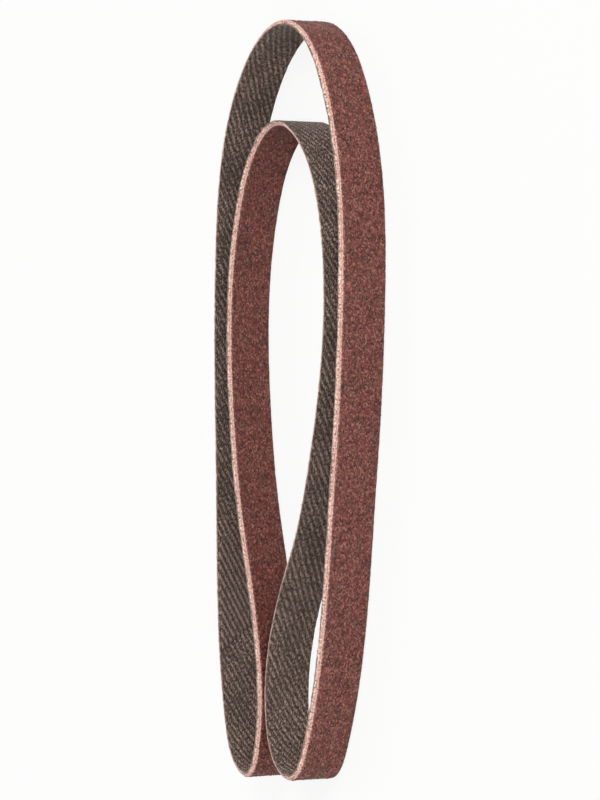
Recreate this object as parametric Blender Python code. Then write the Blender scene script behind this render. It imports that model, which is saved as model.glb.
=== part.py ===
# Narrow sanding belt of the kind a finger-belt sander takes, folded into a horseshoe.
# Metres, +Z up. The belt lies on one cut edge, so its width runs along +Z and the whole
# fold lies in the XY plane. The origin is the bottom centre of the part.

import math

import bpy
import bmesh
from mathutils import Matrix, Vector
from mathutils.geometry import interpolate_bezier

mm = 0.001

# The belt as it is sold
belt_length = 533 * mm          # round the cloth side, which is how belts are sized
belt_width = 9.5 * mm           # 3/8 inch, sold as 9 or 9.5 mm
backing_thickness = 0.55 * mm   # twill cloth with its finish
coat_thickness = 0.33 * mm      # grain and resin together
bond_gap = 0.02 * mm            # line between one layer and the next
bare_edge = 0.12 * mm           # strip at each cut edge that the grain has broken away from
coat_bevel = 0.1 * mm           # crumbled corner along the grain coat's edges

# The splice: the coat's ends butt on the skew, and a film tape holds them from the cloth side
splice_rise = 36 * mm           # along the strip, from the left foot of the fold
splice_skew = math.radians(32)  # the butt line's angle from straight across
seam_width = 0.18 * mm
tape_length = 19 * mm
tape_thickness = 0.1 * mm
tape_inset = 0.35 * mm          # from each cut edge of the cloth

# The horseshoe fold, across
fold_width = 38.4 * mm          # over the two outer strands, at the upper cut edge
splay = 0.8 * mm                # each side leans out by this much at the lower cut edge
outer_strand_inset = 2.35 * mm  # right outer strand in from the fold's side, half way up
left_strand_gap = 6.45 * mm     # outer strand to inner strand, half way up
right_strand_gap = 7 * mm
haunch_inset = 7.3 * mm         # haunches of the outer arch in from the fold's sides
inner_arch_inset = 8.9 * mm     # shoulders of the inner arch in from the fold's sides
left_leg_width = 10.1 * mm      # over each leg, just above its foot
right_leg_width = 11.9 * mm
leg_gap = 2.05 * mm             # between the two legs there
leg_gap_offset = -4.6 * mm      # where that gap lies, from the middle of the fold

# The horseshoe fold, along
arch_gap = 19.5 * mm            # outer crown down to inner crown
foot_rise = 6.35 * mm           # height of the legs' round feet
haunch_drop = 8.65 * mm         # crown down to the haunches of the outer arch
left_shoulder_drop = 33.85 * mm # crown down to where each outer strand is widest
right_shoulder_drop = 44.85 * mm
inner_shoulder_drop = 12.5 * mm # inner crown down to the shoulders of the inner arch

# Facets
longest_facet = 3 * mm
sharpest_turn = math.radians(7)
bezier_steps = 40

backing_depth = coat_thickness + bond_gap
tape_depth = backing_depth + backing_thickness + bond_gap
belt_thickness = backing_depth + backing_thickness


def fold_stations(height):
    """The points that the grain side passes, clockwise from the left foot.

    Each gives a place across, a place up from the feet, and the strip's heading in degrees.
    """
    left = -fold_width / 2
    right = fold_width / 2
    left_leg = leg_gap_offset - leg_gap / 2
    right_leg = leg_gap_offset + leg_gap / 2
    inner_crown = height - arch_gap
    return [
        (left_leg - 0.431 * left_leg_width, 0, 166.6),                            # left foot
        (left_leg - left_leg_width, 1.315 * foot_rise, 102.0),                    # its outside
        (left + 0.165 * outer_strand_inset, 0.421 * height, 91.7),                # outer strand
        (left + 0.302 * outer_strand_inset, height - left_shoulder_drop, 85.6),   # shoulder
        (left + 1.19 * haunch_inset, height - 0.917 * haunch_drop, 55.0),         # haunch
        (0.034 * fold_width, height, 1.6),                                        # crown
        (right - 0.871 * haunch_inset, height - 1.057 * haunch_drop, -64.5),      # haunch
        (right - 0.047 * outer_strand_inset, height - right_shoulder_drop, -91.2),
        (right - outer_strand_inset, 0.409 * height, -96.6),                      # outer strand
        (right_leg + right_leg_width, 0.807 * foot_rise, -110.7),                 # its outside
        (right_leg + 0.584 * right_leg_width, 0.026 * foot_rise, -184.3),         # right foot
        (right_leg, 1.538 * foot_rise, -261.7),                                   # its inside
        (right_leg + 0.582 * right_leg_width, 0.294 * height, -297.4),            # turning off
        (right - outer_strand_inset - right_strand_gap, 0.443 * height, -283.8),  # inner strand
        (right - 0.803 * inner_arch_inset, inner_crown - 1.249 * inner_shoulder_drop, -258.4),
        (0.083 * fold_width, inner_crown, -212.0),                                # inner crown
        (left + 1.035 * inner_arch_inset, inner_crown - 0.771 * inner_shoulder_drop, -109.6),
        (left + 0.17 * outer_strand_inset + left_strand_gap, 0.419 * height, -83.0),
        (left_leg, 0.824 * foot_rise, -101.6),                                    # its inside
    ]


def fold_curve(height):
    """A closed smooth line through the stations, as a list of points."""
    stations = fold_stations(height)
    points = []
    for (x0, y0, heading0), (x1, y1, heading1) in zip(stations, stations[1:] + stations[:1]):
        start, end = Vector((x0, y0, 0)), Vector((x1, y1, 0))
        turn = math.radians((heading1 - heading0 + 180) % 360 - 180)
        handle = (end - start).length / 3
        if abs(turn) > 0.001:
            handle *= 2 * math.tan(turn / 4) / math.sin(turn / 2)   # as on a round arc
        leave = Vector((math.cos(math.radians(heading0)), math.sin(math.radians(heading0)), 0))
        arrive = Vector((math.cos(math.radians(heading1)), math.sin(math.radians(heading1)), 0))
        piece = interpolate_bezier(start, start + leave * handle, end - arrive * handle, end,
                                   bezier_steps + 1)
        points += piece[:-1]
    return points


def closed_length(points):
    return sum((b - a).length for a, b in zip(points, points[1:] + points[:1]))


def fold_height():
    """The height at which the cloth side is as long as the belt.

    The strip turns once round, so its cloth side is shorter than its grain side by one
    turn of its own thickness. Four strands run the height of the fold.
    """
    grain_length = belt_length + 2 * math.pi * belt_thickness
    height = belt_length / 4
    for _ in range(12):
        height += (grain_length - closed_length(fold_curve(height))) / 4
    return height


def rail_along(points):
    """Points and inward normals, closer together where the strip bends more."""
    count = len(points)
    tangents = [(points[(i + 1) % count] - points[i - 1]).normalized() for i in range(count)]
    spent = [0.0]
    for i in range(count):
        step = (points[(i + 1) % count] - points[i]).length
        turn = tangents[i].angle(tangents[(i + 1) % count])
        spent.append(spent[-1] + step / longest_facet + turn / sharpest_turn)
    facets = math.ceil(spent[-1])
    rail = []
    i = 0
    for k in range(facets):
        target = spent[-1] * k / facets
        while spent[i + 1] < target:
            i += 1
        share = (target - spent[i]) / (spent[i + 1] - spent[i])
        point = points[i].lerp(points[(i + 1) % count], share)
        tangent = tangents[i].lerp(tangents[(i + 1) % count], share).normalized()
        rail.append((point, Vector((tangent.y, -tangent.x, 0))))
    return rail


def centred(rail):
    xs = [point.x for point, _ in rail]
    ys = [point.y for point, _ in rail]
    middle = Vector(((min(xs) + max(xs)) / 2, (min(ys) + max(ys)) / 2, 0))
    return [(point - middle, normal) for point, normal in rail]


def rail_at(rail, distance):
    """The point, inward normal and index of the facet at a distance from the left foot."""
    for i, ((point, normal), (after, _)) in enumerate(zip(rail, rail[1:])):
        step = (after - point).length
        if distance <= step:
            return point.lerp(after, distance / step), normal, i
        distance -= step
    return rail[-1][0], rail[-1][1], len(rail) - 2


def splayed(point, height):
    """The place of a point of the strip at a height, with the fold wider at its lower edge."""
    widening = 1 + splay / (fold_width / 2) * (1 - height / belt_width)
    return Vector((point.x * widening, point.y, height))


def sweep(name, section, rail, closed, material):
    """A solid with the given section, a list of (depth, height) corners, along the rail."""
    bm = bmesh.new()
    rings = []
    for point, normal in rail:
        ring = [bm.verts.new(splayed(point + normal * depth, height)) for depth, height in section]
        rings.append(ring)
    pairs = list(zip(rings, rings[1:]))
    if closed:
        pairs.append((rings[-1], rings[0]))
    else:
        bm.faces.new(rings[0])
        bm.faces.new(reversed(rings[-1]))
    for ring, after in pairs:
        for a, b, c, d in zip(ring, ring[1:] + ring[:1], after[1:] + after[:1], after):
            bm.faces.new((a, d, c, b))
    bmesh.ops.recalc_face_normals(bm, faces=bm.faces)
    mesh = bpy.data.meshes.new(name)
    bm.to_mesh(mesh)
    bm.free()
    mesh.shade_smooth()
    mesh.set_sharp_from_angle(angle=math.radians(30))
    mesh.materials.append(material)
    obj = bpy.data.objects.new(name, mesh)
    bpy.context.collection.objects.link(obj)
    return obj


def skew_box(name, size, rail, depth):
    """A box that crosses the strip on the skew at the splice, used only to cut with."""
    point, normal, _ = rail_at(rail, splice_rise)
    middle = splayed(point + normal * depth, belt_width / 2)
    along = Vector((-normal.y, normal.x, 0))
    bm = bmesh.new()
    bmesh.ops.create_cube(bm, size=1.0)
    bmesh.ops.scale(bm, vec=size, verts=bm.verts)
    mesh = bpy.data.meshes.new(name)
    bm.to_mesh(mesh)
    bm.free()
    obj = bpy.data.objects.new(name, mesh)
    bpy.context.collection.objects.link(obj)
    frame = Matrix((along, normal, Vector((0, 0, 1)))).transposed().to_4x4()
    frame = Matrix.Rotation(splice_skew, 4, normal) @ frame
    frame.translation = middle
    obj.matrix_world = frame
    obj.hide_render = True
    obj.display_type = 'WIRE'
    return obj


def cut(obj, cutter, operation):
    modifier = obj.modifiers.new('skew cut', 'BOOLEAN')
    modifier.operation = operation
    modifier.object = cutter
    modifier.solver = 'EXACT'


def finish(name, colour, roughness):
    material = bpy.data.materials.new(name)
    material.use_nodes = True
    shader = material.node_tree.nodes['Principled BSDF']
    shader.inputs['Base Color'].default_value = (*colour, 1)
    shader.inputs['Roughness'].default_value = roughness
    shader.inputs['Metallic'].default_value = 0.0
    return material


def cloth_backing(rail):
    section = [
        (backing_depth, 0),
        (backing_depth + backing_thickness, 0),
        (backing_depth + backing_thickness, belt_width),
        (backing_depth, belt_width),
    ]
    return sweep('cloth_backing', section, rail, True, finish('twill_cloth', (0.09, 0.07, 0.055), 0.9))


def abrasive_coat(rail):
    low, high = bare_edge, belt_width - bare_edge
    section = [
        (0, low + coat_bevel),
        (coat_bevel, low),
        (coat_thickness, low),
        (coat_thickness, high),
        (coat_bevel, high),
        (0, high - coat_bevel),
    ]
    coat = sweep('abrasive_coat', section, rail, True, finish('grain_coat', (0.2, 0.07, 0.06), 0.8))
    seam = skew_box('seam_cutter', (seam_width, 4 * belt_thickness, 2 * belt_width), rail, 0)
    cut(coat, seam, 'DIFFERENCE')
    return coat


def splice_tape(rail):
    low, high = tape_inset, belt_width - tape_inset
    section = [
        (tape_depth, low),
        (tape_depth + tape_thickness, low),
        (tape_depth + tape_thickness, high),
        (tape_depth, high),
    ]
    reach = tape_length / 2 + belt_width
    first = rail_at(rail, splice_rise - reach)[2]
    last = rail_at(rail, splice_rise + reach)[2]
    tape = sweep('splice_tape', section, rail[first:last + 2], False,
                 finish('splice_film', (0.32, 0.24, 0.16), 0.35))
    ends = skew_box('tape_end_cutter', (tape_length * math.cos(splice_skew), 4 * belt_thickness,
                                        4 * belt_width), rail, tape_depth)
    cut(tape, ends, 'INTERSECT')
    return tape


for obj in list(bpy.data.objects):
    bpy.data.objects.remove(obj, do_unlink=True)

rail = centred(rail_along(fold_curve(fold_height())))
belt = bpy.data.objects.new('sanding_belt', None)
bpy.context.collection.objects.link(belt)
for piece in (cloth_backing(rail), abrasive_coat(rail), splice_tape(rail)):
    piece.parent = belt
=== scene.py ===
import math

import bpy
import numpy as np
from mathutils import Matrix, Vector


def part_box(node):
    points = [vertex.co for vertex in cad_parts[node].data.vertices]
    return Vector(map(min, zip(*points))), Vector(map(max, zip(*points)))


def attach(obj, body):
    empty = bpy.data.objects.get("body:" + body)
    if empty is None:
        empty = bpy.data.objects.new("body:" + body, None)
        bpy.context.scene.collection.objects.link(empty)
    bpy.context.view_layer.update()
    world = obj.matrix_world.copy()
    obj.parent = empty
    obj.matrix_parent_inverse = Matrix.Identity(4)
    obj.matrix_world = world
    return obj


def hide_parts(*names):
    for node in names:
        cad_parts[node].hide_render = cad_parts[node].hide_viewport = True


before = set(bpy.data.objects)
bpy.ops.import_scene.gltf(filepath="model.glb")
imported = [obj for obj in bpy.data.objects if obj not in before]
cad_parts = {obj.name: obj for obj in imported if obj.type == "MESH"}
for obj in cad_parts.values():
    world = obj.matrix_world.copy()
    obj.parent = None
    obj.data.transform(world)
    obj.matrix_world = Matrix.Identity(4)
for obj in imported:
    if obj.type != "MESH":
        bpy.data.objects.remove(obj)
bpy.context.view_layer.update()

mm = 0.001

# One narrow sanding belt, folded into a horseshoe and lying on its cut edge.
# The frame gives the strip's run. Every piece is laid along it by three measures:
# the way along the strip, the way out from the cloth's grain side, and the height.


# Helpers

def linearColour(hexText):
    parts = [int(hexText[i:i + 2], 16) / 255 for i in (1, 3, 5)]
    return [c / 12.92 if c <= 0.04045 else ((c + 0.055) / 1.055) ** 2.4 for c in parts] + [1.0]


def addNode(tree, kind, inputs=None, stops=None, **settings):
    node = tree.nodes.new("ShaderNode" + kind)
    for name, value in settings.items():
        setattr(node, name, value)
    for socket, value in (inputs or {}).items():
        if isinstance(value, bpy.types.NodeSocket):
            tree.links.new(value, node.inputs[socket])
        else:
            node.inputs[socket].default_value = value
    if stops:
        elements = node.color_ramp.elements
        while len(elements) < len(stops):
            elements.new(1.0)
        for element, (position, colour) in zip(elements, stops):
            element.position = position
            element.color = linearColour(colour)
    return node


def newMaterial(name):
    material = bpy.data.materials.new(name)
    material.use_nodes = True
    material.node_tree.nodes.clear()
    return material, material.node_tree


# noise over a grid that closes on itself both ways, changing over about reach cells, mostly -1 to 1
def softNoise(rng, shape, reach):
    waves = np.fft.fftn(rng.normal(size=shape))
    rateI = np.fft.fftfreq(shape[0])[:, None]
    rateJ = np.fft.fftfreq(shape[1])
    waves = waves * np.exp(-(rateI * reach[0] * 2) ** 2) * np.exp(-(rateJ * reach[1] * 2) ** 2)
    values = np.real(np.fft.ifftn(waves))
    return np.clip(values / values.std() / 2, -1, 1)


# The run of the strip, read from the frame

clothLow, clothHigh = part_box("cloth_backing")
coatLow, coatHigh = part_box("abrasive_coat")
beltWidth = clothHigh.z - clothLow.z
coatOut = coatHigh.y - clothHigh.y       # from the cloth's grain side out to the coat's face
bareEdge = coatLow.z - clothLow.z        # cloth that the coat leaves bare along each cut edge
levelSlack = 0.01 * mm                   # how far off a level its corners may lie


# the closed borders of a node's flat face at a height, the longest first
def borderLoops(node, level):
    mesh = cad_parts[node].data
    uses = {}
    for polygon in mesh.polygons:
        corners = [tuple(round(c, 7) for c in mesh.vertices[i].co) for i in polygon.vertices]
        if all(abs(corner[2] - level) < levelSlack for corner in corners):
            for pair in zip(corners, corners[1:] + corners[:1]):
                key = frozenset(pair)
                uses[key] = uses.get(key, 0) + 1
    beside = {}
    for key, count in uses.items():
        if count == 1:
            a, b = sorted(key)
            beside.setdefault(a, []).append(b)
            beside.setdefault(b, []).append(a)
    loops = []
    while beside:
        loop = [min(beside)]
        while True:
            ways = [p for p in beside.pop(loop[-1]) if p in beside]
            if not ways:
                break
            loop.append(ways[0])
        loops.append(np.array(loop))
    spans = [np.hypot(*np.diff(loop[:, :2], axis=0).T).sum() for loop in loops]
    return [loops[i] for i in np.argsort(spans)[::-1]]


upperLoops = borderLoops("cloth_backing", clothHigh.z)
lowerLoops = borderLoops("cloth_backing", clothLow.z)
rim = upperLoops[0][:, :2]
rimX, rimY = rim.T
if (rimX * np.roll(rimY, -1) - rimY * np.roll(rimX, -1)).sum() > 0:
    rim = rim[::-1]                      # clockwise, so that the grain side is on the left

tapeCorners = np.array([v.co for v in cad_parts["splice_tape"].data.vertices])
tapeZ = tapeCorners[:, 2]
tapeEnds = [tapeCorners[np.abs(tapeZ - z) < levelSlack] for z in (tapeZ.min(), tapeZ.max())]
tapeLower, tapeUpper = [(ends.min(0) + ends.max(0)) / 2 for ends in tapeEnds]
tapeMiddle = (tapeLower + tapeUpper) / 2
tapeLength = np.ptp(tapeEnds[1][:, 1])
spliceLean = (tapeUpper[1] - tapeLower[1]) / (tapeUpper[2] - tapeLower[2])
rim = np.roll(rim, -np.argmin(np.hypot(*(rim - tapeMiddle[:2]).T)), axis=0)   # starts at the splice
lowerWidening = np.ptp(lowerLoops[0][:, 0]) / np.ptp(rim[:, 0])
clothThick = (np.ptp(rim[:, 1]) - np.ptp(upperLoops[1][:, 1])) / 2

chords = np.roll(rim, -1, axis=0) - rim
steps = np.hypot(*chords.T)
marks = np.concatenate([[0.0], np.cumsum(steps)])
runLength = marks[-1]
slopes = chords / steps[:, None]
slopesBefore = np.roll(slopes, 1, axis=0)
stepsBefore = np.roll(steps, 1)
tangents = ((slopesBefore * steps[:, None] + slopes * stepsBefore[:, None])
            / (steps + stepsBefore)[:, None])


# points of a smooth curve through the rim, moved out to the left of it and up
def place(way, out, height):
    way, out, height = np.broadcast_arrays(way, out, height)
    way = np.mod(way, runLength)
    i = np.clip(np.searchsorted(marks, way, side="right") - 1, 0, len(rim) - 1)
    j = (i + 1) % len(rim)
    h = steps[i][..., None]
    t = ((way - marks[i]) / steps[i])[..., None]
    start, end = rim[i], rim[j]
    startTangent, endTangent = tangents[i], tangents[j]
    point = ((2 * t ** 3 - 3 * t ** 2 + 1) * start + (t ** 3 - 2 * t ** 2 + t) * h * startTangent
             + (3 * t ** 2 - 2 * t ** 3) * end + (t ** 3 - t ** 2) * h * endTangent)
    heading = ((6 * t ** 2 - 6 * t) * (start - end) / h + (3 * t ** 2 - 4 * t + 1) * startTangent
               + (3 * t ** 2 - 2 * t) * endTangent)
    heading = heading / np.linalg.norm(heading, axis=-1, keepdims=True)
    widening = 1 + (lowerWidening - 1) * (1 - height / beltWidth)      # both sides lean out downwards
    x = (point[..., 0] - heading[..., 1] * out) * widening
    y = point[..., 1] + heading[..., 0] * out
    return np.stack([x, y, height], axis=-1)


print("run read from the frame: %.1f mm round, %.2f mm wide, cloth %.2f mm thick"
      % (runLength / mm, beltWidth / mm, clothThick / mm))


# Making meshes

def addPiece(name, points, faces, uvs, materials, faceMaterials=None, smooth=True):
    mesh = bpy.data.meshes.new(name)
    mesh.from_pydata(points.tolist(), [], faces)
    layer = mesh.uv_layers.new(name="strip")
    layer.data.foreach_set("uv", np.ascontiguousarray(uvs, dtype=np.float32).ravel())
    for material in materials:
        mesh.materials.append(material)
    if faceMaterials is not None:
        mesh.polygons.foreach_set("material_index", np.ascontiguousarray(faceMaterials, dtype=np.int32))
    mesh.polygons.foreach_set("use_smooth", np.full(len(faces), smooth))
    mesh.update()
    piece = bpy.data.objects.new(name, mesh)
    bpy.context.collection.objects.link(piece)
    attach(piece, "root")
    return piece


# A skin round a section, laid along the strip. The rows go up the grain side and round to it again.
# across holds, in mm, the pattern's place at both ends of each row's stretch, and wobble shifts it.
# kinds says which of the materials each row's stretch has.
def laySkin(name, ways, outs, heights, across, materials, kinds, closed=True, wobble=0):
    columns, rows = outs.shape
    points = place(ways, outs, heights).reshape(-1, 3)
    i, j = np.meshgrid(np.arange(columns if closed else columns - 1), np.arange(rows), indexing="ij")
    nextI, nextJ = (i + 1) % columns, (j + 1) % rows
    quads = np.stack([i * rows + j, i * rows + nextJ, nextI * rows + nextJ, nextI * rows + j], axis=-1)
    u = ways / mm
    lap = np.where(i + 1 >= columns, runLength / mm, 0)       # where the end meets the start again
    us = np.stack([u[i, j], u[i, nextJ], u[nextI, nextJ] + lap, u[nextI, j] + lap], axis=-1)
    wobble = np.broadcast_to(wobble, outs.shape)
    starts, ends = across[:, 0][j], across[:, 1][j]
    vs = np.stack([starts + wobble[i, j], ends + wobble[i, nextJ],
                   ends + wobble[nextI, nextJ], starts + wobble[nextI, j]], axis=-1)
    uvs = np.stack([us, vs], axis=-1).reshape(-1, 2)
    faces = quads.reshape(-1, 4).tolist()
    faceKinds = np.broadcast_to(kinds, i.shape).reshape(-1)
    if not closed:
        firstCap = list(range(rows))[::-1]
        lastCap = list(range((columns - 1) * rows, columns * rows))
        faces += [firstCap, lastCap]
        capV = across[:, 0]
        uvs = np.concatenate([uvs, np.stack([u[0][::-1], capV[::-1]], axis=-1),
                              np.stack([u[-1], capV], axis=-1)])
        faceKinds = np.append(faceKinds, [kinds[0]] * 2)
    return addPiece(name, points, faces, uvs, materials, faceKinds)


# The coat: aluminium oxide grit set in red brown resin

grit = dict(
    grain=0.27, patch=2.6,               # mm, the pitch of the grains (P80) and of the dusty patches
    # the darkest colour is painted shade in the pits between grains; the palest is partly pale grains and
    # partly painted highlights
    pitShade="#2f1411", resinDark="#4c211d", resin="#6b322a", resinWarm="#7b3b33", paleGrainAndHighlight="#a66e62",
    dust="#70443a", roughness=0.6, freshRoughness=0.4,
    chipSize=0.45, chipJag=0.3,          # mm
    chipFade=0.3, chipFull=0.35,         # mm inside and outside the face's end, chipping grows between
    lowerLess=0.5,                       # mm, the lower edge has that much less chipping
    chipPale="#dfab9b", chipPalest="#f1cdc0", chipDark="#b0705f",
)

coat = dict(
    step=0.42 * mm, rowPitch=0.26 * mm,  # along the strip and up it
    seam=0.18 * mm, bond=0.02 * mm,      # the butt's gap and the bond line on the cloth
    chipDown=0.36 * mm,                  # how far down the chipped slope meets the coat's face
    chipOuts=(0.5, 0.85),                # the slope's rows over the bond, as shares of the thickness
    chipDowns=(0.4, 0.6, 0.85),          # all of its rows, as shares of chipDown
    chipShifts=(0.5, 0.35, 0.15),        # mm further out on the pattern, so that the slope is all chipped
    roughness=0.025 * mm, swell=0.03 * mm, crumble=0.08 * mm, seed=11,
    grainReach=(0.8, 0.8), swellReach=(12, 14), crumbleReach=(1.6, 0.5),      # in steps and rows
)
coatFaceEnd = (beltWidth / 2 - bareEdge - coat["chipDown"]) / mm      # up from the belt's middle


# Resin holds most light down to a flat red brown. Among the grains the darkest specks are painted shade
# in the pits, and the palest are partly pale grains and partly painted highlights on broken faces.
# Along the slit edges the coat has chipped, which leaves a pale pink crust on the grain side.
def resinGritMaterial(name, contrast, roughness):
    material, tree = newMaterial(name)
    uv = addNode(tree, "UVMap", uv_map="strip").outputs[0]
    cells = addNode(tree, "TexVoronoi", {"Vector": uv, "Scale": 1 / grit["grain"]},
                    voronoi_dimensions="2D")
    shade = addNode(tree, "SeparateColor", {0: cells.outputs["Color"]})
    fine = addNode(tree, "TexNoise", {"Vector": uv, "Scale": 0.9 / grit["grain"], "Detail": 3.0},
                   noise_dimensions="2D")
    # a Mix node has sockets 0, 6, 7 and output 2 for colours, and 0, 2, 3 and output 0 for numbers
    level = addNode(tree, "Mix", {0: 0.4, 2: shade.outputs[0], 3: fine.outputs["Fac"]})
    # the darkest stop is painted shade in the pits, and the palest is partly pale grain and partly
    # painted highlight
    tone = addNode(tree, "ValToRGB", {0: level.outputs[0]}, stops=[
        (0.23 + contrast, grit["pitShade"]), (0.32 + contrast, grit["resinDark"]), (0.46, grit["resin"]),
        (0.66, grit["resinWarm"]), (0.83 - contrast, grit["paleGrainAndHighlight"])])
    patch = addNode(tree, "TexNoise", {"Vector": uv, "Scale": 1 / grit["patch"], "Detail": 2.0},
                    noise_dimensions="2D")
    spread = addNode(tree, "MapRange", {0: patch.outputs["Fac"], 1: 0.4, 2: 0.65, 3: 0.0, 4: 0.65})
    dusted = addNode(tree, "Mix", {0: spread.outputs[0], 6: tone.outputs[0],
                                   7: linearColour(grit["dust"])}, data_type="RGBA", blend_type="COLOR")
    height = addNode(tree, "SeparateXYZ", {0: uv}).outputs[1]
    half = beltWidth / mm / 2
    upward = addNode(tree, "Math", {0: height, 1: half}, operation="SUBTRACT")
    downward = addNode(tree, "Math", {0: half - grit["lowerLess"], 1: height}, operation="SUBTRACT")
    outward = addNode(tree, "Math", {0: upward.outputs[0], 1: downward.outputs[0]}, operation="MAXIMUM")
    chips = addNode(tree, "TexNoise", {"Vector": uv, "Scale": 1 / grit["chipSize"], "Detail": 3.0},
                    noise_dimensions="2D")
    jag = addNode(tree, "MapRange", {0: chips.outputs["Fac"], 1: 0.3, 2: 0.7,
                                     3: -grit["chipJag"], 4: grit["chipJag"]})
    reach = addNode(tree, "Math", {0: outward.outputs[0], 1: jag.outputs[0]}, operation="ADD")
    near = addNode(tree, "MapRange", {0: reach.outputs[0], 1: coatFaceEnd - grit["chipFade"],
                                      2: coatFaceEnd + grit["chipFull"], 3: 0.0, 4: 1.0})
    chipped = addNode(tree, "Math", {0: near.outputs[0], 1: 2.0}, operation="POWER")
    crust = addNode(tree, "ValToRGB", {0: fine.outputs["Fac"]}, stops=[
        (0.34, grit["chipDark"]), (0.48, grit["chipPale"]), (0.64, grit["chipPalest"])])
    coloured = addNode(tree, "Mix", {0: chipped.outputs[0], 6: dusted.outputs[2],
                                     7: crust.outputs[0]}, data_type="RGBA")
    bump = addNode(tree, "Bump", {"Height": level.outputs[0], "Distance": 0.08 * mm, "Strength": 0.8})
    surface = addNode(tree, "BsdfPrincipled", {
        "Base Color": coloured.outputs[2], "Normal": bump.outputs[0],
        "Roughness": roughness, "IOR": 1.5})
    addNode(tree, "OutputMaterial", {0: surface.outputs[0]})
    return material


# A rough face with a chipped, crumbling slope down to the cloth along each of its long edges
def grainCoat():
    rng = np.random.default_rng(coat["seed"])
    low, high = bareEdge, beltWidth - bareEdge
    faceRows = int((high - low - 2 * coat["chipDown"]) / coat["rowPitch"]) + 1
    face = np.linspace(low + coat["chipDown"], high - coat["chipDown"], faceRows)
    chipOuts = [coat["bond"]] + [coatOut * share for share in coat["chipOuts"]]
    chipDowns = np.array(coat["chipDowns"]) * coat["chipDown"]
    chipRows = len(chipDowns)
    heights = np.concatenate([low + chipDowns, face, high - chipDowns[::-1]])
    outs = np.concatenate([chipOuts, np.full(faceRows, coatOut), chipOuts[::-1]])
    run = runLength - coat["seam"]
    columns = int(run / coat["step"])
    ways = np.linspace(coat["seam"] / 2, coat["seam"] / 2 + run, columns)[:, None]
    ways = ways + (heights - beltWidth / 2)[None, :] * spliceLean
    shape = ways.shape
    outs = np.broadcast_to(outs, shape).copy()
    heights = np.broadcast_to(heights, shape).copy()
    v = heights[0] / mm
    v[:chipRows] -= coat["chipShifts"]
    v[-chipRows:] += coat["chipShifts"][::-1]
    across = np.stack([v, np.roll(v, -1)], axis=-1)
    grain = softNoise(rng, shape, coat["grainReach"]) * coat["roughness"]
    swell = softNoise(rng, shape, coat["swellReach"]) * coat["swell"]
    outs[:, chipRows:-chipRows] += (grain + swell)[:, chipRows:-chipRows] - coat["roughness"]
    crumble = np.abs(softNoise(rng, shape, coat["crumbleReach"])) * coat["crumble"]
    shares = np.linspace(0, 1, chipRows + 1)[1:]
    heights[:, 1:chipRows + 1] += crumble[:, 1:chipRows + 1] * shares
    heights[:, -chipRows - 1:-1] -= crumble[:, -chipRows - 1:-1] * shares[::-1]
    resin = resinGritMaterial("red brown resin and grit", 0.0, grit["roughness"])
    piece = laySkin("grainCoat", ways, outs, heights, across, [resin],
                    np.zeros(len(v), dtype=int), closed=False)
    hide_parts("abrasive_coat")


grains = dict(
    perSquareMm=3.6, widest=0.22, narrowest=0.11, tall=0.16,          # sizes in mm
    corners=4, skew=0.25, tipOff=0.35,   # radians that a corner strays, the tip's shift as a share
    cornerIn=0.55, cornerUp=0.55,        # the least share of its reach, the most of its height
    tallLeast=0.25, flatBias=1.5,        # a higher bias makes more of the grains flat
    sunk=1.5, rootDeep=0.4,              # shares of the coat's roughness and of the grain's reach
    contrast=0.03, seed=23,
)


# Each grain is a small broken crystal, half sunk in the resin
def standingGrains():
    rng = np.random.default_rng(grains["seed"])
    corners = grains["corners"]
    margin = bareEdge + coat["chipDown"]
    count = int(runLength * (beltWidth - 2 * margin) / mm ** 2 * grains["perSquareMm"])
    way = rng.uniform(0, runLength, count)
    height = rng.uniform(margin, beltWidth - margin, count)
    fromSeam = way - (height - beltWidth / 2) * spliceLean
    fromSeam = np.abs((fromSeam + runLength / 2) % runLength - runLength / 2)
    kept = fromSeam > coat["seam"] + grains["widest"] * mm
    way, height = way[kept], height[kept]
    count = len(way)
    reach = rng.uniform(grains["narrowest"], grains["widest"], count) * mm
    turn = rng.uniform(0, 2 * math.pi, count)[:, None] + np.arange(corners) * 2 * math.pi / corners
    turn = turn + rng.normal(0, grains["skew"], (count, corners))
    ring = reach[:, None] * rng.uniform(grains["cornerIn"], 1.0, (count, corners))
    tall = grains["tall"] * mm * rng.uniform(grains["tallLeast"], 1.0, count) ** grains["flatBias"]
    ringOut = tall[:, None] * rng.uniform(0.0, grains["cornerUp"], (count, corners))
    tip = rng.normal(0, grains["tipOff"], (count, 2)) * reach[:, None]
    ways = np.concatenate([way[:, None] + ring * np.cos(turn), (way + tip[:, 0])[:, None],
                           way[:, None]], axis=1)
    heights = np.concatenate([height[:, None] + ring * np.sin(turn), (height + tip[:, 1])[:, None],
                              height[:, None]], axis=1)
    sunk = coatOut - coat["roughness"] * grains["sunk"]
    root = -reach[:, None] * grains["rootDeep"]
    outs = sunk + np.concatenate([ringOut, tall[:, None], root], axis=1)
    points = place(ways, outs, heights).reshape(-1, 3)
    corner = np.arange(corners)
    nextCorner = (corner + 1) % corners
    upper = np.stack([corner, np.full(corners, corners), nextCorner], axis=-1)
    lower = np.stack([corner, nextCorner, np.full(corners, corners + 1)], axis=-1)
    pattern = np.concatenate([upper, lower])
    faces = (np.arange(count)[:, None, None] * (corners + 2) + pattern[None]).reshape(-1, 3)
    uvs = np.repeat(np.stack([way / mm, height / mm], axis=-1), len(pattern) * 3, axis=0)
    broken = resinGritMaterial("broken aluminium oxide grain", grains["contrast"],
                               grit["freshRoughness"])
    addPiece("standingGrains", points, faces.tolist(), uvs, [broken], smooth=False)


grainCoat()
standingGrains()
print("coat and grains made")


# The cloth: cotton twill, sized and dried a dark grey brown

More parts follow.
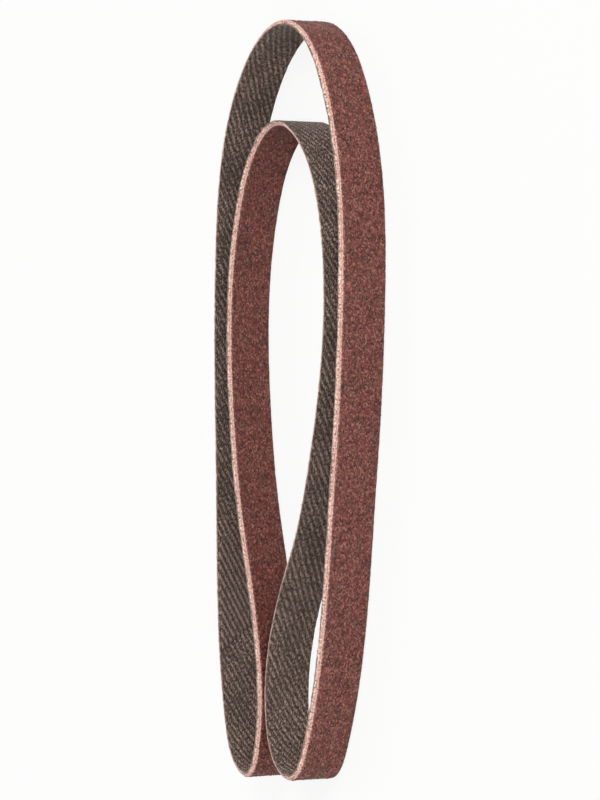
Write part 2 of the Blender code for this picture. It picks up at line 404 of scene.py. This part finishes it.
twill = dict(
    ribPitch=1.22, ribAngle=31.0,        # mm straight across the width, degrees off the strip's length
    yarnPitch=0.64, yarnAngle=-26.0,     # the yarns cross the ribs and break them into short floats
    crestShape=1.5, yarnDip=0.45,        # how narrow the ribs are, and how far they dip between yarns
    threadWide=0.14, threadLong=0.5, floatSize=0.9, patch=7.0, wobble=0.12,         # mm
    # the darkest colour is painted shade down in the hollows between the ribs, and it also tints the
    # soiled patches
    hollowShadeAndSoil="#2d231c", flank="#55433a", crest="#82695c", threadPale="#c8b2a5",
    step=0.38 * mm, bareRows=3, edgeRows=4, clothRows=48, seed=37,
    ribDepth=0.06 * mm, threadDepth=0.025 * mm, raggedEdge=0.06 * mm, threadEnds=0.05 * mm,
    wobbleReach=(9, 7), threadReach=(1.2, 0.8),                       # in steps and rows
    raggedReach=(4, 30), endReach=(0.8, 0.8),
    crestAt=0.9, slope=0.22 * mm,        # the cut edge's crest, as a share of the thickness, and its
                                         # height over the edge's grain side
    bareStep=0.04 * mm, roughness=0.86,
)


# direction across a set of parallel lines on the strip, for an angle off its length
def lineAcross(angle):
    lean = math.radians(angle)
    return -math.sin(lean), math.cos(lean), 0


ribAcross = lineAcross(twill["ribAngle"])
yarnAcross = lineAcross(twill["yarnAngle"])
yarnAlong = (yarnAcross[1], -yarnAcross[0], 0)
ribTurns = 2 * math.pi / (twill["ribPitch"] * ribAcross[1])       # radians per mm across the ribs
yarnTurns = 2 * math.pi / (twill["yarnPitch"] * yarnAcross[1])


# how high the floats stand at a place on the cloth side, 0 to 1, for places in mm
def floatHeight(u, v):
    rib = 0.5 + 0.5 * np.cos((u * ribAcross[0] + v * ribAcross[1]) * ribTurns)
    yarn = 0.5 + 0.5 * np.cos((u * yarnAcross[0] + v * yarnAcross[1]) * yarnTurns)
    return rib ** twill["crestShape"] * (1 - twill["yarnDip"] + twill["yarnDip"] * yarn)


# the same pattern for a material, as a height socket
def floatNodes(tree, uv):
    waves = []
    for across, turns in ((ribAcross, ribTurns), (yarnAcross, yarnTurns)):
        distance = addNode(tree, "VectorMath", {0: uv, 1: across}, operation="DOT_PRODUCT")
        angle = addNode(tree, "Math", {0: distance.outputs["Value"], 1: turns}, operation="MULTIPLY")
        wave = addNode(tree, "Math", {0: angle.outputs[0]}, operation="COSINE")
        waves.append(wave.outputs[0])
    swing = addNode(tree, "MapRange", {0: waves[0], 1: -1.0, 2: 1.0, 3: 0.0, 4: 1.0})
    rib = addNode(tree, "Math", {0: swing.outputs[0], 1: twill["crestShape"]}, operation="POWER")
    yarn = addNode(tree, "MapRange", {0: waves[1], 1: -1.0, 2: 1.0, 3: 1 - twill["yarnDip"], 4: 1.0})
    return addNode(tree, "Math", {0: rib.outputs[0], 1: yarn.outputs[0]}, operation="MULTIPLY").outputs[0]


# The colour darkens with the floats' height down into the hollows between the ribs, which is painted
# shade. The size leaves the cloth matt, and the rubbed thread floats stay paler.
def sizedTwillMaterial():
    material, tree = newMaterial("sized cotton twill")
    uv = addNode(tree, "UVMap", uv_map="strip").outputs[0]
    floats = floatNodes(tree, uv)
    places = [addNode(tree, "VectorMath", {0: uv, 1: axis}, operation="DOT_PRODUCT").outputs["Value"]
              for axis in (yarnAcross, yarnAlong)]
    alongYarn = addNode(tree, "CombineXYZ", {0: places[0], 1: places[1]})
    threadScale = (1 / twill["threadWide"], 1 / twill["threadLong"], 0)
    threadAt = addNode(tree, "VectorMath", {0: alongYarn.outputs[0], 1: threadScale},
                       operation="MULTIPLY")
    threads = addNode(tree, "TexNoise", {"Vector": threadAt.outputs[0], "Scale": 1.0, "Detail": 2.0},
                      noise_dimensions="2D")
    lots = addNode(tree, "TexNoise", {"Vector": uv, "Scale": 1 / twill["floatSize"], "Detail": 2.0},
                   noise_dimensions="2D")
    worn = addNode(tree, "MapRange", {0: lots.outputs["Fac"], 1: 0.32, 2: 0.68, 3: 0.2, 4: 1.0})
    stand = addNode(tree, "Math", {0: floats, 1: worn.outputs[0]}, operation="MULTIPLY")
    thread = addNode(tree, "MapRange", {0: threads.outputs["Fac"], 1: 0.3, 2: 0.7, 3: -0.45, 4: 0.9})
    level = addNode(tree, "Math", {0: stand.outputs[0], 1: thread.outputs[0]}, operation="ADD")
    # darker with the floats' height down into the hollows between the ribs: painted shade
    tone = addNode(tree, "ValToRGB", {0: level.outputs[0]}, stops=[
        (0.04, twill["hollowShadeAndSoil"]), (0.32, twill["flank"]), (0.68, twill["crest"]),
        (1.0, twill["threadPale"])])
    patch = addNode(tree, "TexNoise", {"Vector": uv, "Scale": 1 / twill["patch"], "Detail": 2.0},
                    noise_dimensions="2D")
    shade = addNode(tree, "MapRange", {0: patch.outputs["Fac"], 1: 0.35, 2: 0.65, 3: 0.0, 4: 0.35})
    soiled = addNode(tree, "Mix", {0: shade.outputs[0], 6: tone.outputs[0],
                                   7: linearColour(twill["hollowShadeAndSoil"])}, data_type="RGBA")
    bump = addNode(tree, "Bump", {"Height": level.outputs[0], "Distance": 0.05 * mm, "Strength": 0.6})
    surface = addNode(tree, "BsdfPrincipled", {
        "Base Color": soiled.outputs[2], "Normal": bump.outputs[0],
        "Roughness": twill["roughness"], "IOR": 1.45, "Sheen Weight": 0.12, "Sheen Roughness": 0.5})
    addNode(tree, "OutputMaterial", {0: surface.outputs[0]})
    return material


cutEdge = dict(
    threadEnd=0.32, yarnEnd=1.2,         # mm, a thread's end and the pitch of the cut weft yarns
    yarnDrift=2.5, yarnStray=14.0,       # mm over which the yarns stray, and the radians that they do
    brownFrom=0.36, brownFade=0.14,      # the share of the thickness that stays pale, and a fade in mm
    dashContrast=0.07, roughness=0.9,
    shadow="#966455", pale="#e3bcad", palest="#f9e0d5", brown="#604a3f",
)


# Slit threads fluff out pale, pink from the resin that has soaked in, and brown next to the size.
# Each cut weft yarn shows as a pale dash along the edge.
def slitEdgeMaterial():
    material, tree = newMaterial("slit cotton threads")
    uv = addNode(tree, "UVMap", uv_map="strip").outputs[0]
    parts = addNode(tree, "SeparateXYZ", {0: uv})
    ends = addNode(tree, "TexNoise", {"Vector": uv, "Scale": 1 / cutEdge["threadEnd"], "Detail": 3.0},
                   noise_dimensions="2D")
    drift = addNode(tree, "TexNoise", {"Vector": uv, "Scale": 1 / cutEdge["yarnDrift"], "Detail": 1.0},
                    noise_dimensions="2D")
    turn = addNode(tree, "Math", {0: parts.outputs[0], 1: 2 * math.pi / cutEdge["yarnEnd"]},
                   operation="MULTIPLY")
    shifted = addNode(tree, "Math", {0: drift.outputs["Fac"], 1: cutEdge["yarnStray"],
                                     2: turn.outputs[0]}, operation="MULTIPLY_ADD")
    dash = addNode(tree, "Math", {0: shifted.outputs[0]}, operation="COSINE")
    level = addNode(tree, "Math", {0: dash.outputs[0], 1: cutEdge["dashContrast"],
                                   2: ends.outputs["Fac"]}, operation="MULTIPLY_ADD")
    tone = addNode(tree, "ValToRGB", {0: level.outputs[0]}, stops=[
        (0.32, cutEdge["shadow"]), (0.46, cutEdge["pale"]), (0.62, cutEdge["palest"])])
    over = addNode(tree, "Math", {0: parts.outputs[1], 1: beltWidth / mm}, operation="SUBTRACT")
    under = addNode(tree, "Math", {0: parts.outputs[1], 1: -1.0}, operation="MULTIPLY")
    depth = addNode(tree, "Math", {0: over.outputs[0], 1: under.outputs[0]}, operation="MAXIMUM")
    fade = cutEdge["brownFade"]
    uneven = addNode(tree, "MapRange", {0: ends.outputs["Fac"], 1: 0.3, 2: 0.7, 3: fade, 4: -fade})
    depthUneven = addNode(tree, "Math", {0: depth.outputs[0], 1: uneven.outputs[0]}, operation="ADD")
    palePart = cutEdge["brownFrom"] * clothThick / mm
    brown = addNode(tree, "MapRange", {0: depthUneven.outputs[0], 1: palePart, 2: palePart + fade,
                                       3: 0.0, 4: 0.85})
    toned = addNode(tree, "Mix", {0: brown.outputs[0], 6: tone.outputs[0],
                                  7: linearColour(cutEdge["brown"])}, data_type="RGBA")
    bump = addNode(tree, "Bump", {"Height": ends.outputs["Fac"], "Distance": 0.1 * mm, "Strength": 0.8})
    surface = addNode(tree, "BsdfPrincipled", {
        "Base Color": toned.outputs[2], "Normal": bump.outputs[0],
        "Roughness": cutEdge["roughness"], "IOR": 1.45, "Sheen Weight": 0.2, "Sheen Roughness": 0.4})
    addNode(tree, "OutputMaterial", {0: surface.outputs[0]})
    return material


slitEdge = slitEdgeMaterial()


# how far the cut edge lies below its crest, at a place out from the cloth's grain side
def edgeSlope(out):
    return twill["slope"] * ((out / clothThick + twill["crestAt"]) / twill["crestAt"]) ** 2


# The section's rows go up the grain side, over the upper edge, down the cloth side and back under
def twillBacking():
    rng = np.random.default_rng(twill["seed"])
    edgeRows, clothRows = twill["edgeRows"], twill["clothRows"]
    bare = np.linspace(0, bareEdge, twill["bareRows"])
    grainSide = np.concatenate([bare, [beltWidth / 2], beltWidth - bare[::-1]])
    edgeDepths = np.linspace(0, clothThick, edgeRows + 2)[1:-1]
    clothSide = np.linspace(beltWidth, 0, clothRows)
    heights = np.concatenate([grainSide, np.full(edgeRows, beltWidth), clothSide, np.zeros(edgeRows)])
    outs = -np.concatenate([np.zeros(len(grainSide)), edgeDepths,
                            np.full(clothRows, clothThick), edgeDepths[::-1]])
    grainEnd = len(grainSide) - 1
    clothStart = grainEnd + edgeRows + 1
    clothEnd = clothStart + clothRows - 1
    top = slice(grainEnd, clothStart + 1)
    cloth = slice(clothStart, clothEnd + 1)
    bottom = slice(clothEnd, len(heights))
    columns = int(runLength / twill["step"])
    ways = (np.arange(columns) * runLength / columns)[:, None] + np.zeros((1, len(heights)))
    shape = ways.shape
    v = heights / mm
    wobble = softNoise(rng, shape, twill["wobbleReach"]) * twill["wobble"]
    outs = np.broadcast_to(outs, shape).copy()
    heights = np.broadcast_to(heights, shape).copy()
    relief = floatHeight(ways / mm, v + wobble) * twill["ribDepth"]
    relief += softNoise(rng, shape, twill["threadReach"]) * twill["threadDepth"]
    outs[:, cloth] -= relief[:, cloth]
    ragged = softNoise(rng, shape, twill["raggedReach"]) * twill["raggedEdge"]
    threadEnds = softNoise(rng, shape, twill["endReach"]) * twill["threadEnds"]
    # the edge is highest near the cloth side and slopes down to the coat
    lift = ragged + threadEnds - edgeSlope(outs)
    heights[:, top] += lift[:, top]
    heights[:, bottom] += np.abs(lift[:, bottom])
    heights[:, 0] += np.abs(lift[:, 0])
    # the bare rows stay between the coat and the sloped edge
    for row in range(1, twill["bareRows"]):
        below = heights[:, grainEnd] - row * twill["bareStep"]
        above = heights[:, 0] + row * twill["bareStep"]
        heights[:, grainEnd - row] = np.minimum(heights[:, grainEnd - row], below)
        heights[:, row] = np.maximum(heights[:, row], above)
    across = np.stack([v, np.roll(v, -1)], axis=-1)
    depths = np.append(0, edgeDepths / mm)
    depthsNext = np.append(edgeDepths / mm, clothThick / mm)
    across[grainEnd:clothStart] = beltWidth / mm + np.stack([depths, depthsNext], axis=-1)
    across[clothEnd:] = -np.stack([depthsNext, depths], axis=-1)[::-1]
    kinds = np.ones(len(v), dtype=int)
    kinds[clothStart:clothEnd] = 0
    piece = laySkin("twillBacking", ways, outs, heights, across,
                    [sizedTwillMaterial(), slitEdge], kinds, wobble=wobble)
    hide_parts("cloth_backing")


fray = dict(
    perMm=7.0, longest=2.0, shortest=0.2, rise=0.09, spread=0.22,     # sizes in mm
    rootOut=0.06, rootDeepest=0.75,      # from mm off the grain side to a share of the thickness
    shortBias=3, grainSideBias=1.6,      # higher makes more of them short, more near the grain side
    overGrain=0.3, overCloth=0.25,       # mm that threads reach past the two sides
    droop=0.9,                           # how steeply they hang there
    thick=0.03, taper=(1.0, 1.0, 0.9, 0.75, 0.45), sides=3,           # radius in mm, at five points
    rises=(0.2, 1.0), humps=(0.5, 1.1), radii=(0.6, 1.3),             # how much threads differ
)


# Short loose threads along a slit edge, each a thin bent tube with closed ends
def frayedThreads(name, edgeHeight, up, seed):
    rng = np.random.default_rng(seed)
    clothDeep = clothThick / mm
    sides, stations = fray["sides"], len(fray["taper"])
    count = int(runLength / mm * fray["perMm"])
    along = np.linspace(0, 1, stations)
    longer = rng.uniform(0, 1, count) ** fray["shortBias"]
    length = fray["shortest"] + (fray["longest"] - fray["shortest"]) * longer
    length = length * rng.choice([-1, 1], count)
    lean = rng.normal(0, fray["spread"], count)
    curl = rng.normal(0, fray["spread"], count)
    rise = rng.uniform(*fray["rises"], count) * fray["rise"]
    way = rng.uniform(0, runLength / mm, count)[:, None] + length[:, None] * along
    deeper = rng.uniform(0, 1, count) ** fray["grainSideBias"]
    root = fray["rootOut"] - clothDeep * fray["rootDeepest"] * deeper
    out = root[:, None] + lean[:, None] * along + curl[:, None] * along ** 2
    out = np.clip(out, -clothDeep - fray["overCloth"], fray["overGrain"])
    hump = rise[:, None] * np.sin(along * math.pi * rng.uniform(*fray["humps"], count)[:, None])
    beside = np.maximum(out, 0) + np.maximum(-out - clothDeep, 0)
    height = edgeHeight / mm + up * (hump - fray["droop"] * beside - edgeSlope(out * mm) / mm)
    height = np.maximum(height, fray["thick"] * 1.2)          # just off what the belt lies on
    path = place(way * mm, out * mm, height * mm)
    course = np.gradient(path, axis=1)
    course /= np.linalg.norm(course, axis=-1, keepdims=True)
    side = np.cross(course, rng.normal(size=(count, 1, 3)))
    side /= np.linalg.norm(side, axis=-1, keepdims=True)
    other = np.cross(course, side)
    turn = np.arange(sides) * 2 * math.pi / sides
    radius = (fray["thick"] * mm * np.array(fray["taper"])[None, :, None, None]
              * rng.uniform(*fray["radii"], count)[:, None, None, None])
    ring = np.cos(turn)[:, None] * side[:, :, None] + np.sin(turn)[:, None] * other[:, :, None]
    points = (path[:, :, None] + ring * radius).reshape(-1, 3)
    i, j = np.meshgrid(np.arange(stations - 1), np.arange(sides), indexing="ij")
    beyond = (j + 1) % sides
    walls = np.stack([i * sides + j, i * sides + beyond, (i + 1) * sides + beyond,
                      (i + 1) * sides + j], axis=-1).reshape(-1, 4)
    first = np.arange(count)[:, None, None] * sides * stations
    quads = (first + walls).reshape(-1, 4)
    caps = np.stack([np.arange(sides)[::-1], np.arange(sides) + (stations - 1) * sides])
    triangles = (first + caps).reshape(-1, 3)
    spot = np.stack([way[:, 0], rng.uniform(1, beltWidth / mm - 1, count)], axis=-1)
    uvs = np.concatenate([np.repeat(spot, len(walls) * 4, axis=0), np.repeat(spot, 2 * sides, axis=0)])
    addPiece(name, points, quads.tolist() + triangles.tolist(), uvs, [slitEdge])


twillBacking()
frayedThreads("frayedThreadsUpper", beltWidth, 1, 41)
frayedThreads("frayedThreadsLower", 0.0, -1, 43)
print("cloth and its frayed edges made")


# The splice: a thin film tape across the butt of the two ends, on the cloth side

tape = dict(
    step=0.4 * mm, rows=40, thick=0.1 * mm, bond=0.02 * mm,
    margin=0.35 * mm,                    # in from both cut edges
    follow=0.6,                          # the share of the ribs' height that the film follows
    cloudsPerMm=3.5, film="#382c27", filmPale="#a88f84", roughness=0.5,
)


# The film is smooth enough to catch a soft gloss. The twill's ribs show faintly through, coloured darker
# over the hollows, which is painted shade.
def spliceFilmMaterial():
    material, tree = newMaterial("polyester splice film")
    uv = addNode(tree, "UVMap", uv_map="strip").outputs[0]
    cloud = addNode(tree, "TexNoise", {"Vector": uv, "Scale": tape["cloudsPerMm"], "Detail": 4.0},
                    noise_dimensions="2D")
    lots = addNode(tree, "TexNoise", {"Vector": uv, "Scale": 1 / twill["floatSize"], "Detail": 2.0},
                   noise_dimensions="2D")
    pressed = addNode(tree, "MapRange", {0: lots.outputs["Fac"], 1: 0.32, 2: 0.68, 3: 0.15, 4: 0.6})
    ribs = addNode(tree, "Math", {0: floatNodes(tree, uv), 1: pressed.outputs[0]}, operation="MULTIPLY")
    level = addNode(tree, "Math", {0: cloud.outputs["Fac"], 1: ribs.outputs[0]}, operation="ADD")
    # darker over the hollows between the ribs beneath, which is painted shade
    tone = addNode(tree, "ValToRGB", {0: level.outputs[0]}, stops=[
        (0.5, tape["film"]), (0.82, tape["filmPale"])])
    bump = addNode(tree, "Bump", {"Height": level.outputs[0], "Distance": 0.04 * mm, "Strength": 0.4})
    surface = addNode(tree, "BsdfPrincipled", {
        "Base Color": tone.outputs[0], "Normal": bump.outputs[0],
        "Roughness": tape["roughness"], "IOR": 1.57})
    addNode(tree, "OutputMaterial", {0: surface.outputs[0]})
    return material


def spliceTape():
    low, high = tape["margin"], beltWidth - tape["margin"]
    face = np.linspace(low, high, tape["rows"])
    near = clothThick + tape["bond"]
    heights = np.concatenate([face, face[::-1]])
    outs = -np.concatenate([np.full(len(face), near), np.full(len(face), near + tape["thick"])])
    columns = int(tapeLength / tape["step"])
    ways = np.linspace(-tapeLength / 2, tapeLength / 2, columns)[:, None]
    ways = ways + (heights - beltWidth / 2)[None, :] * spliceLean
    shape = ways.shape
    heights = np.broadcast_to(heights, shape)
    relief = floatHeight(ways / mm, heights / mm) * twill["ribDepth"]
    outs = outs - relief * tape["follow"] - twill["ribDepth"] * (1 - tape["follow"])
    v = heights[0] / mm
    across = np.stack([v, np.roll(v, -1)], axis=-1)
    piece = laySkin("spliceTape", ways, outs, heights, across, [spliceFilmMaterial()],
                    np.zeros(len(v), dtype=int), closed=False)
    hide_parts("splice_tape")


spliceTape()
print("splice tape made")


# Floor, background, lights and camera

setting = dict(
    floorWide=3.0, floorDrop=0.05 * mm,  # metres
    floorColour="#e9e7e4", floorShows=0.88, specklesAcross=900.0,
    worldColour="#ffffff", worldLight=0.5,
)


# Matt pale paint. To the camera part of its white is its own, so the shadow on it stays light
def paleFloorMaterial():
    material, tree = newMaterial("matt pale floor paint")
    speckle = addNode(tree, "TexNoise", {"Scale": setting["specklesAcross"], "Detail": 2.0})
    bump = addNode(tree, "Bump", {"Height": speckle.outputs["Fac"], "Distance": 0.02 * mm,
                                  "Strength": 0.1})
    paint = addNode(tree, "BsdfDiffuse", {"Color": linearColour(setting["floorColour"]),
                                          "Normal": bump.outputs[0]})
    white = addNode(tree, "Emission", {"Color": (1, 1, 1, 1), "Strength": 1.0})
    path = addNode(tree, "LightPath")
    share = addNode(tree, "Math", {0: path.outputs["Is Camera Ray"], 1: setting["floorShows"]},
                    operation="MULTIPLY")
    seen = addNode(tree, "MixShader", {0: share.outputs[0], 1: paint.outputs[0], 2: white.outputs[0]})
    addNode(tree, "OutputMaterial", {0: seen.outputs[0]})
    return material


def makeFloor():
    half, z = setting["floorWide"] / 2, -setting["floorDrop"]
    mesh = bpy.data.meshes.new("floor")
    mesh.from_pydata([(-half, -half, z), (half, -half, z), (half, half, z), (-half, half, z)],
                     [], [(0, 1, 2, 3)])
    mesh.materials.append(paleFloorMaterial())
    floor = bpy.data.objects.new("floor", mesh)
    bpy.context.collection.objects.link(floor)


def makeWorld():
    world = bpy.data.worlds.new("studio white")
    bpy.context.scene.world = world
    world.use_nodes = True
    tree = world.node_tree
    tree.nodes.clear()
    path = addNode(tree, "LightPath")
    direct = addNode(tree, "Math", {0: path.outputs["Is Camera Ray"], 1: path.outputs["Is Glossy Ray"]},
                     operation="MAXIMUM")
    seen = addNode(tree, "Math", {0: direct.outputs[0], 1: path.outputs["Is Transmission Ray"]},
                   operation="MAXIMUM")
    strength = addNode(tree, "MapRange", {0: seen.outputs[0], 1: 0.0, 2: 1.0,
                                          3: setting["worldLight"], 4: 1.0})
    white = addNode(tree, "Background", {"Color": linearColour(setting["worldColour"]),
                                         "Strength": strength.outputs[0]})
    addNode(tree, "OutputWorld", {0: white.outputs[0]})


# soft panels, all aimed at the belt: the metres where each stands, its width and its power
panels = dict(
    key=dict(at=(0.55, 0.75, 0.95), wide=0.6, watts=9.1),
    fill=dict(at=(0.9, -0.5, 0.6), wide=0.7, watts=3.6),
    back=dict(at=(-0.8, 0.3, 0.7), wide=0.6, watts=2.2),
)


def makeLights():
    for name, panel in panels.items():
        light = bpy.data.lights.new(name + "Panel", "AREA")
        light.shape, light.size, light.energy = "SQUARE", panel["wide"], panel["watts"]
        lamp = bpy.data.objects.new(name + "Panel", light)
        lamp.location = panel["at"]
        lamp.rotation_mode = "QUATERNION"
        lamp.rotation_quaternion = (-Vector(panel["at"])).to_track_quat("-Z", "Y")
        bpy.context.collection.objects.link(lamp)


# The photograph shows the belt upright. Here it lies down, so the camera looks down on it from the
# side, with its own up along the fold.
view = dict(
    aim=(7.187 * mm, 0.081 * mm, beltWidth), fromOverhead=53.5, away=0.8,   # metres and degrees
    focalPixels=4584.0, framePixels=800.0, sensor=36.0,      # the frame's height, the sensor in mm
    nearest=0.01, furthest=20.0,         # metres
)


def makeCamera():
    tilt = math.radians(view["fromOverhead"])
    back = Vector((math.sin(tilt), 0, math.cos(tilt)))
    right = Vector((math.cos(tilt), 0, -math.sin(tilt)))
    camera = bpy.data.cameras.new("camera")
    camera.sensor_width = view["sensor"]
    camera.lens = view["focalPixels"] / view["framePixels"] * view["sensor"]
    camera.clip_start = view["nearest"]
    camera.clip_end = view["furthest"]
    holder = bpy.data.objects.new("camera", camera)
    spot = Vector(view["aim"]) + back * view["away"]
    alongFold = Vector((0, 1, 0))
    turn = Matrix((right, alongFold, back)).transposed().to_4x4()
    holder.matrix_world = Matrix.Translation(spot) @ turn
    bpy.context.collection.objects.link(holder)
    bpy.context.scene.camera = holder


makeFloor()
makeWorld()
makeLights()
makeCamera()
bpy.context.scene.view_settings.view_transform = "Standard"
print("stage, lights and camera set")
